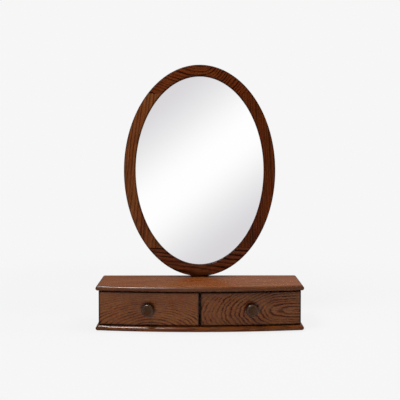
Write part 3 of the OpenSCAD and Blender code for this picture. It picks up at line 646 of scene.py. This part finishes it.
# Metals. "patch" clouds the tone, and "worn" is the bare metal along rubbed edges
metals = {
    "zinc": {
        "tone": screenColour(196, 197, 198), "patch": screenColour(172, 174, 178),
        "worn": None, "metallic": 1.0, "roughness": 0.34, "grainScale": 2200.0, "relief": 0.15,
    },
    "blackened": {
        "tone": screenColour(46, 46, 48), "patch": screenColour(36, 36, 39),
        "worn": screenColour(140, 138, 134), "metallic": 1.0,
        "roughness": 0.38, "grainScale": 2600.0, "relief": 0.2,
    },
    "cast": {
        "tone": screenColour(40, 40, 42), "patch": screenColour(32, 32, 34),
        "worn": screenColour(96, 94, 92), "metallic": 0.2,
        "roughness": 0.52, "grainScale": 900.0, "relief": 0.7,
    },
}
wear = {
    "scratches": (2600.0, 500.0, 2600.0),  # how often they and the patches change in a metre
    "patches": 260.0,
    "rubWidth": 0.0006,
    "softEdge": 0.00025,  # radius that a sharp edge seems to have
    "smoothest": 0.08,  # how far a scratch's roughness lies under the metal's own, and over it
    "roughest": 0.1,
    "grainHeight": 0.0001,
}


def metalFinish(name):
    look = metals[name]
    material, tree, shader, place = newMaterial(name, {"Metallic": look["metallic"], "IOR": 1.5})
    scratches = addNoise(tree, vectorCalc(tree, "MULTIPLY", place, wear["scratches"]), 1.0, 2.0, 0.6)
    patches = addNoise(tree, place, wear["patches"], 3.0, 0.6)
    tone = mixColour(tree, remap(tree, patches, 0.35, 0.65), look["tone"], look["patch"])
    if look["worn"]:
        flat = addNode(tree, "ShaderNodeNewGeometry", {}, {}).outputs["Normal"]
        eased = addNode(tree, "ShaderNodeBevel", {"samples": 6}, {"Radius": wear["rubWidth"]}).outputs[0]
        rub = remap(tree, vectorCalc(tree, "DOT_PRODUCT", flat, eased), 0.995, 0.9)
        rub = calc(tree, "MULTIPLY", rub, remap(tree, patches, 0.4, 0.6))
        tone = mixColour(tree, rub, tone, look["worn"])
    tree.links.new(tone, shader.inputs["Base Color"])
    rough = remap(tree, scratches, 0.3, 0.7, look["roughness"] - wear["smoothest"],
                  look["roughness"] + wear["roughest"])
    tree.links.new(rough, shader.inputs["Roughness"])
    height = addNoise(tree, place, look["grainScale"], 2.0, 0.6)
    eased = addNode(tree, "ShaderNodeBevel", {"samples": 4}, {"Radius": wear["softEdge"]}).outputs[0]
    inputs = {"Height": height, "Strength": look["relief"], "Distance": wear["grainHeight"], "Normal": eased}
    tree.links.new(addNode(tree, "ShaderNodeBump", {}, inputs).outputs[0], shader.inputs["Normal"])
    return material


nylon = {
    "pale": screenColour(230, 226, 214),
    "yellowed": screenColour(218, 213, 198),
    "cloudScale": 500.0,
    "glow": 0.15,
    "glowDepth": 0.002,
    "roughness": (0.4, 0.52),
}


def nylonFinish():
    inputs = {"Specular IOR Level": 0.5, "Subsurface Weight": nylon["glow"],
              "Subsurface Scale": nylon["glowDepth"]}
    material, tree, shader, place = newMaterial("nylon", inputs)
    cloud = addNoise(tree, place, nylon["cloudScale"], 2.0)
    tone = mixColour(tree, remap(tree, cloud, 0.3, 0.7), nylon["pale"], nylon["yellowed"])
    tree.links.new(tone, shader.inputs["Base Color"])
    tree.links.new(remap(tree, cloud, 0.3, 0.7, *nylon["roughness"]), shader.inputs["Roughness"])
    return material


felt = {
    "deep": screenColour(38, 32, 29),
    "fibre": screenColour(66, 57, 50),
    "tuft": screenColour(216, 206, 200),  # tint of its tufts
    "fibreScale": 1900.0,
    "tuftScale": 420.0,
    "sheen": 0.35,
    "relief": 0.8,
    "depth": 0.0003,
    "edge": 0.3,  # share of a pad's thickness taken by its soft rim
    "fuzz": 0.00012,  # how far the tufts stand out or lie in
    "tuck": 0.6,  # share of that by which all are drawn in, to stay within the pad's outline
    "fuzzScale": 900.0,
    "rings": 9,
}


def feltFinish():
    inputs = {"Roughness": 0.95, "Specular IOR Level": 0.2, "Sheen Weight": felt["sheen"],
              "Sheen Roughness": 0.5}
    material, tree, shader, place = newMaterial("felt", inputs)
    fibres = addNoise(tree, place, felt["fibreScale"], 4.0, 0.75)
    tufts = addNoise(tree, place, felt["tuftScale"], 2.0, 0.6)
    tone = mixColour(tree, remap(tree, fibres, 0.35, 0.65), felt["deep"], felt["fibre"])
    tone = mixColour(tree, remap(tree, tufts, 0.4, 0.75), tone, felt["tuft"], "MULTIPLY")
    tree.links.new(tone, shader.inputs["Base Color"])
    inputs = {"Height": fibres, "Strength": felt["relief"], "Distance": felt["depth"]}
    tree.links.new(addNode(tree, "ShaderNodeBump", {}, inputs).outputs[0], shader.inputs["Normal"])
    return material


# New pieces. Each is turned or built about its own axis on Z, then laid on the place of its CAD solid
def solidsOf(name):
    bm = bmesh.new()
    bm.from_mesh(nodes[name].data)
    bmesh.ops.remove_doubles(bm, verts=bm.verts, dist=1e-6)
    left, found = set(bm.verts), []
    while left:
        reached, todo = set(), [left.pop()]
        while todo:
            vert = todo.pop()
            reached.add(vert)
            fresh = [edge.other_vert(vert) for edge in vert.link_edges]
            todo += [other for other in fresh if other in left]
            left.difference_update(fresh)
        spots = [vert.co for vert in reached]
        found.append((Vector(map(min, zip(*spots))), Vector(map(max, zip(*spots)))))
    bm.free()
    return sorted(found, key=lambda box: tuple(round(v, 5) for v in box[0]))


def turnedShape(bm, profile, steps=48):
    verts = [bm.verts.new((radius, 0, height)) for radius, height in profile]
    edges = [bm.edges.new(pair) for pair in zip(verts, verts[1:])]
    bmesh.ops.spin(bm, geom=verts + edges, cent=(0, 0, 0), axis=(0, 0, 1), angle=math.tau, steps=steps,
                   use_merge=True, use_duplicate=False)


def tidyShape(bm):
    bmesh.ops.remove_doubles(bm, verts=bm.verts, dist=1e-6)
    bmesh.ops.recalc_face_normals(bm, faces=bm.faces)


def laidOn(bm, axis, spot):
    turn = Vector((0, 0, 1)).rotation_difference(Vector(axis)).to_matrix().to_4x4()
    bmesh.ops.transform(bm, matrix=Matrix.Translation(spot) @ turn, verts=bm.verts)


def joined(target, part):
    mesh = bpy.data.meshes.new("part")
    part.to_mesh(mesh)
    part.free()
    target.from_mesh(mesh)
    bpy.data.meshes.remove(mesh)


def finishPiece(name, bm, material, body, replaced, smoothAngle=35):
    mesh = bpy.data.meshes.new(name)
    bm.to_mesh(mesh)
    bm.free()
    mesh.shade_smooth()
    mesh.set_sharp_from_angle(angle=math.radians(smoothAngle))
    mesh.materials.append(material)
    piece = bpy.data.objects.new(name, mesh)
    scene.collection.objects.link(piece)
    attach(piece, body)
    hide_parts(*replaced)


# Turned knobs: a flared foot, a waist, and a head with a round rim that rolls over into its dished face
knobs = {
    "turn": 4.27,  # degrees: each stands square to the bow of its drawer front
    "foot": 0.008,
    "footEase": 0.0003,
    "waist": 0.00575,
    "cove": 0.00375,  # radius of the hollow from foot to waist, and its height
    "coveHeight": 0.00455,
    "shoulder": 0.0138,
    "fillet": 0.002,
    "rim": 0.0036,
    "rimAt": 0.0109,  # distance of the rim's middle from the axis, and its height
    "rimHeight": 0.0194,
    "dish": 25,  # degrees: slope of the dish where it leaves the rim
    "bore": 0.00205,
    "boreDepth": 0.0135,
    "polish": (0.008, 0.0125),  # distances from the axis over which the gloss rises
    "dishGloss": 0.2,  # share of the rim's gloss
}


def arcPoints(centre, radius, first, last, steps):
    turns = [math.radians(first + (last - first) * step / steps) for step in range(steps + 1)]
    return [(centre[0] + radius * math.cos(turn), centre[1] + radius * math.sin(turn)) for turn in turns]


def knobProfile():
    foot, ease, waist = knobs["foot"], knobs["footEase"], knobs["waist"]
    cove, fillet = knobs["cove"], knobs["fillet"]
    flare = math.degrees(math.acos((waist + cove - foot) / cove))
    profile = [(0, knobs["boreDepth"]), (knobs["bore"], knobs["boreDepth"]), (knobs["bore"], 0),
               (foot - ease, 0), (foot, ease)]
    profile += arcPoints((waist + cove, knobs["coveHeight"]), cove, 180 + flare, 180, 8)
    profile += arcPoints((waist + fillet, knobs["shoulder"] - fillet), fillet, 180, 90, 5)
    profile += arcPoints((knobs["rimAt"], knobs["rimHeight"]), knobs["rim"], -90, 90 + knobs["dish"], 18)
    lip, slope = profile[-1], math.radians(knobs["dish"])
    hollow = lip[0] / math.sin(slope)
    middle = lip[1] + hollow * math.cos(slope)
    return profile + arcPoints((0, middle), hollow, knobs["dish"] - 90, -90, 10)[1:]


# Fingers keep the rim polished, and the dish has gone dull
def knobFinish(node):
    stain, cut = cuts[node]
    material = woodFinish(node, {**stain, **cut})
    tree = material.node_tree
    gloss = tree.nodes["Principled BSDF"].inputs["Specular Tint"]
    place = addNode(tree, "ShaderNodeTexCoord", {}, {}).outputs["Object"]
    worn = remap(tree, fromKnob(tree, place, node), *knobs["polish"], knobs["dishGloss"], 1.0)
    tree.links.new(calc(tree, "MULTIPLY", gloss.links[0].from_socket, worn), gloss)
    return material


def makeKnobs():
    for side, way in (("left", -1), ("right", 1)):
        node = "drawer_" + side + "_knob"
        low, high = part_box(node)
        turn = math.radians(knobs["turn"])
        foot = (low + high) / 2  # the widest part is the rim, so the foot lies back from it along the axis
        foot.x -= way * knobs["rimHeight"] * math.sin(turn)
        foot.y = low.y + knobs["rim"] + knobs["rimAt"] * math.sin(turn) + knobs["rimHeight"] * math.cos(turn)
        bm = bmesh.new()
        turnedShape(bm, knobProfile(), 64)
        tidyShape(bm)
        laidOn(bm, (way * math.sin(turn), -math.cos(turn), 0), foot)
        finishPiece(side + "Knob", bm, knobFinish(node), "drawer_" + side, [node])


# A felt pad with a soft rim, its top fuzzy and its foot flat
def feltPad(radius, thick):
    rim = felt["edge"] * thick
    corner = [(radius - rim + rim * math.sin(a), rim * math.cos(a)) for a in (0, 0.4, 0.8, 1.2, math.pi / 2)]
    inner = [radius * ring / felt["rings"] for ring in range(felt["rings"] - 1)]
    lower = [(r, 0) for r in inner] + [(r, rim - h) for r, h in corner]
    upper = [(r, thick - rim + h) for r, h in reversed(corner)] + [(r, thick) for r in reversed(inner)]
    bm = bmesh.new()
    turnedShape(bm, lower + upper)
    tidyShape(bm)
    shift = Vector((radius * 7000, thick * 5000, 0))  # other tufts for each size of pad
    for vert in bm.verts:
        if 0.05 * thick < vert.co.z:
            tuft = noise.noise(vert.co * felt["fuzzScale"] + shift)
            vert.co += vert.normal * felt["fuzz"] * (tuft - felt["tuck"])
    return bm


def makeFelt():
    material = feltFinish()
    pads = (("feltFeet", "felt_feet", (0, 0, 1)), ("feltBumpers", "drawer_bumpers", (0, -1, 0)),
            ("feltBuffer", "mirror_buffer", (0, -1, 0)))
    for name, node, axis in pads:
        whole = bmesh.new()
        for low, high in solidsOf(node):
            size, foot = high - low, (low + high) / 2
            if axis[2]:
                thick, foot.z = size.z, low.z
            else:
                thick, foot.y = size.y, high.y
            pad = feltPad(size.x / 2, thick)
            laidOn(pad, axis, foot)
            joined(whole, pad)
        finishPiece(name, whole, material, "case", [node], 60)


pivot = {
    "chamfer": 0.0003,
    "pitch": 0.001,
    "threadDepth": 0.00055,
    "threadLength": 0.0075,
    "crest": (0.44, 0.56),  # the thread's flat crest, as shares of the pitch
    "sink": 0.0001,  # how deep the thread's foot lies inside the shank
    "runOut": 0.0006,  # length over which the shank narrows before the thread
    "shank": 0.003,
    "tipEase": 0.0004,
    "headHeight": 0.0039,
    "headFace": 0.0036,  # radius of the head's flat face, inside its rounded rim
    "headSide": 0.0006,  # height of the upright band under that rim
    "headEase": 0.0002,
    "socket": 0.00225,  # corner radius of the hexagon socket
    "socketDepth": 0.00195,
    "socketEase": (0.0003, 0.0004),  # the chamfer at its mouth, across and deep
    "nutFace": 0.0049,  # radius of the round faces that the nut's corners are turned down to
    "bore": 0.00305,
}


def washerShape(radius, thick):
    bore, ease = pivot["bore"], min(pivot["chamfer"], thick / 4)
    loop = [(bore, ease), (bore + ease, 0), (radius - ease, 0), (radius, ease), (radius, thick - ease),
            (radius - ease, thick), (bore + ease, thick), (bore, thick - ease), (bore, ease)]
    bm = bmesh.new()
    turnedShape(bm, loop, 64)
    tidyShape(bm)
    return bm


# Middle of a box's left side, from which the pieces on the bolt are built
def leftEnd(low, high):
    foot = (low + high) / 2
    foot.x = low.x
    return foot


def makeWashers(name, node, material):
    whole = bmesh.new()
    for low, high in solidsOf(node):
        ring = washerShape((high.y - low.y) / 2, high.x - low.x)
        laidOn(ring, (1, 0, 0), leftEnd(low, high))
        joined(whole, ring)
    finishPiece(name, whole, material, "case", [node])


# Rings of 48 vertices, bridged one to the next. A ring given as a hexagon has its corners on that radius
def bridgedRings(bm, rings, closed):
    edgeRings = []
    for kind, radius, height in rings:
        verts = bmesh.ops.create_circle(bm, segments=48, radius=radius)["verts"]
        for vert in verts:
            if kind == "hexagon":
                turn = math.atan2(vert.co.y, vert.co.x) % (math.pi / 3) - math.pi / 6
                vert.co *= math.cos(math.pi / 6) / math.cos(turn)
            vert.co.z = height
        edgeRings.append({edge for vert in verts for edge in vert.link_edges})
    following = edgeRings[1:] + (edgeRings[:1] if closed else [])
    for first, second in zip(edgeRings, following):
        bmesh.ops.bridge_loops(bm, edges=list(first | second))


def makeNut(material):
    low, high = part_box("tilt_nut")
    height, corner = high.x - low.x, (high.z - low.z) / 2
    face, bore = pivot["nutFace"], pivot["bore"]
    bm = bmesh.new()
    bridgedRings(bm, (("round", bore, 0), ("round", face, 0), ("hexagon", corner, 0),
                      ("hexagon", corner, height), ("round", face, height), ("round", bore, height)), True)
    for vert in bm.verts:  # both ends are turned down to a cone of 30 degrees
        cone = max(0.0, vert.co.xy.length - face) * math.tan(math.radians(30))
        vert.co.z = min(max(vert.co.z, cone), height - cone)
    tidyShape(bm)
    laidOn(bm, (1, 0, 0), leftEnd(low, high))
    finishPiece("tiltNut", bm, material, "case", ["tilt_nut"])


# The bolt's head has a rounded rim and a hexagon socket. Its shank ends in a rolled thread and a tapered tip
def makeBolt(material):
    low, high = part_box("tilt_bolt")
    tip, rim = high.x - low.x, (high.z - low.z) / 2
    shank, head, face, ease = pivot["shank"], pivot["headHeight"], pivot["headFace"], pivot["headEase"]
    root, threaded = shank - pivot["threadDepth"], tip - pivot["threadLength"]
    socket, (mouth, mouthDepth) = pivot["socket"], pivot["socketEase"]
    rings = [("hexagon", socket, pivot["socketDepth"]), ("hexagon", socket, mouthDepth),
             ("round", socket + mouth, 0), ("round", face, 0)]
    for step in range(1, 7):
        turn = step / 6 * math.pi / 2
        depth = (head - pivot["headSide"]) * (1 - math.cos(turn))
        rings.append(("round", face + (rim - face) * math.sin(turn), depth))
    rings += [("round", rim, head - ease), ("round", rim - ease, head), ("round", shank, head),
              ("round", shank, threaded - pivot["runOut"]), ("round", root, threaded),
              ("round", root, tip - pivot["tipEase"]), ("round", root - pivot["tipEase"], tip)]
    bm = bmesh.new()
    bridgedRings(bm, rings, False)
    bmesh.ops.holes_fill(bm, edges=bm.edges, sides=0)
    addThread(bm, shank, root, threaded, tip)
    tidyShape(bm)
    laidOn(bm, (1, 0, 0), leftEnd(low, high))
    finishPiece("tiltBolt", bm, material, "case", ["tilt_bolt"])


# One V of the thread, run up the shank as a helix and turned down to the tip's cone
def addThread(bm, shank, root, threaded, tip):
    pitch, inside = pivot["pitch"], root - pivot["sink"]
    lower, upper = [share * pitch for share in pivot["crest"]]
    section = ((inside, 0), (shank, lower), (shank, upper), (inside, pitch))
    verts = [bm.verts.new((radius, 0, threaded - pitch + rise)) for radius, rise in section]
    edges = [bm.edges.new(pair) for pair in zip(verts, verts[1:])]
    turns = pivot["threadLength"] / pitch - 0.2
    bmesh.ops.spin(bm, geom=verts + edges, cent=(0, 0, 0), axis=(0, 0, 1), angle=math.tau * turns,
                   dvec=(0, 0, pitch / 32), steps=round(32 * turns), use_duplicate=False)
    for vert in bm.verts:
        cone = root - pivot["tipEase"] + max(0.0, tip - vert.co.z)
        away = vert.co.xy.length
        if vert.co.z > threaded and away > cone:
            vert.co.xy *= cone / away


# Edges of the construction's own pieces are eased without touching their meshes: bevel width and segments
easing = {
    "wood": (0.0006, 3),
    "steel": (0.00012, 2),
    "casting": (0.0009, 4),
    "sheet": (0.00025, 2),
}


def easeEdges(name, kind):
    piece = nodes[name]
    weld = piece.modifiers.new("weld", "WELD")
    weld.merge_threshold = 0.000002
    flat = piece.modifiers.new("flat faces", "DECIMATE")
    flat.decimate_type = "DISSOLVE"
    flat.angle_limit = math.radians(0.4)
    eased = piece.modifiers.new("eased edges", "BEVEL")
    eased.width, eased.segments = easing[kind]
    eased.limit_method = "ANGLE"
    eased.angle_limit = math.radians(40)
    eased.harden_normals = True


def easeWood():
    for name in ("mirror_post", "back_panel", "side_panel_left", "side_panel_right"):
        easeEdges(name, "wood")


def makeHardware():
    zinc, blackened = metalFinish("zinc"), metalFinish("blackened")
    makeBolt(blackened)
    makeNut(blackened)
    makeWashers("boltWashers", "bolt_washers", zinc)
    makeWashers("frictionWashers", "friction_washers", nylonFinish())
    dress("pivot_bracket", metalFinish("cast"))
    easeEdges("pivot_bracket", "casting")
    for name in nodes:
        if "screw" in name:
            dress(name, zinc)
            easeEdges(name, "steel")
    dress("backing_clips", zinc)
    easeEdges("backing_clips", "sheet")


makeCamera()
makeWorld()
makeFloor()
makeLamps()
print("camera, floor and lamps in place")
dressWood()
easeWood()
dressPlywood()
print("wood stained")
dressGlass()
print("glass silvered")
makeKnobs()
print("knobs turned")
makeFelt()
print("felt pads made")
makeHardware()
print("hardware made")
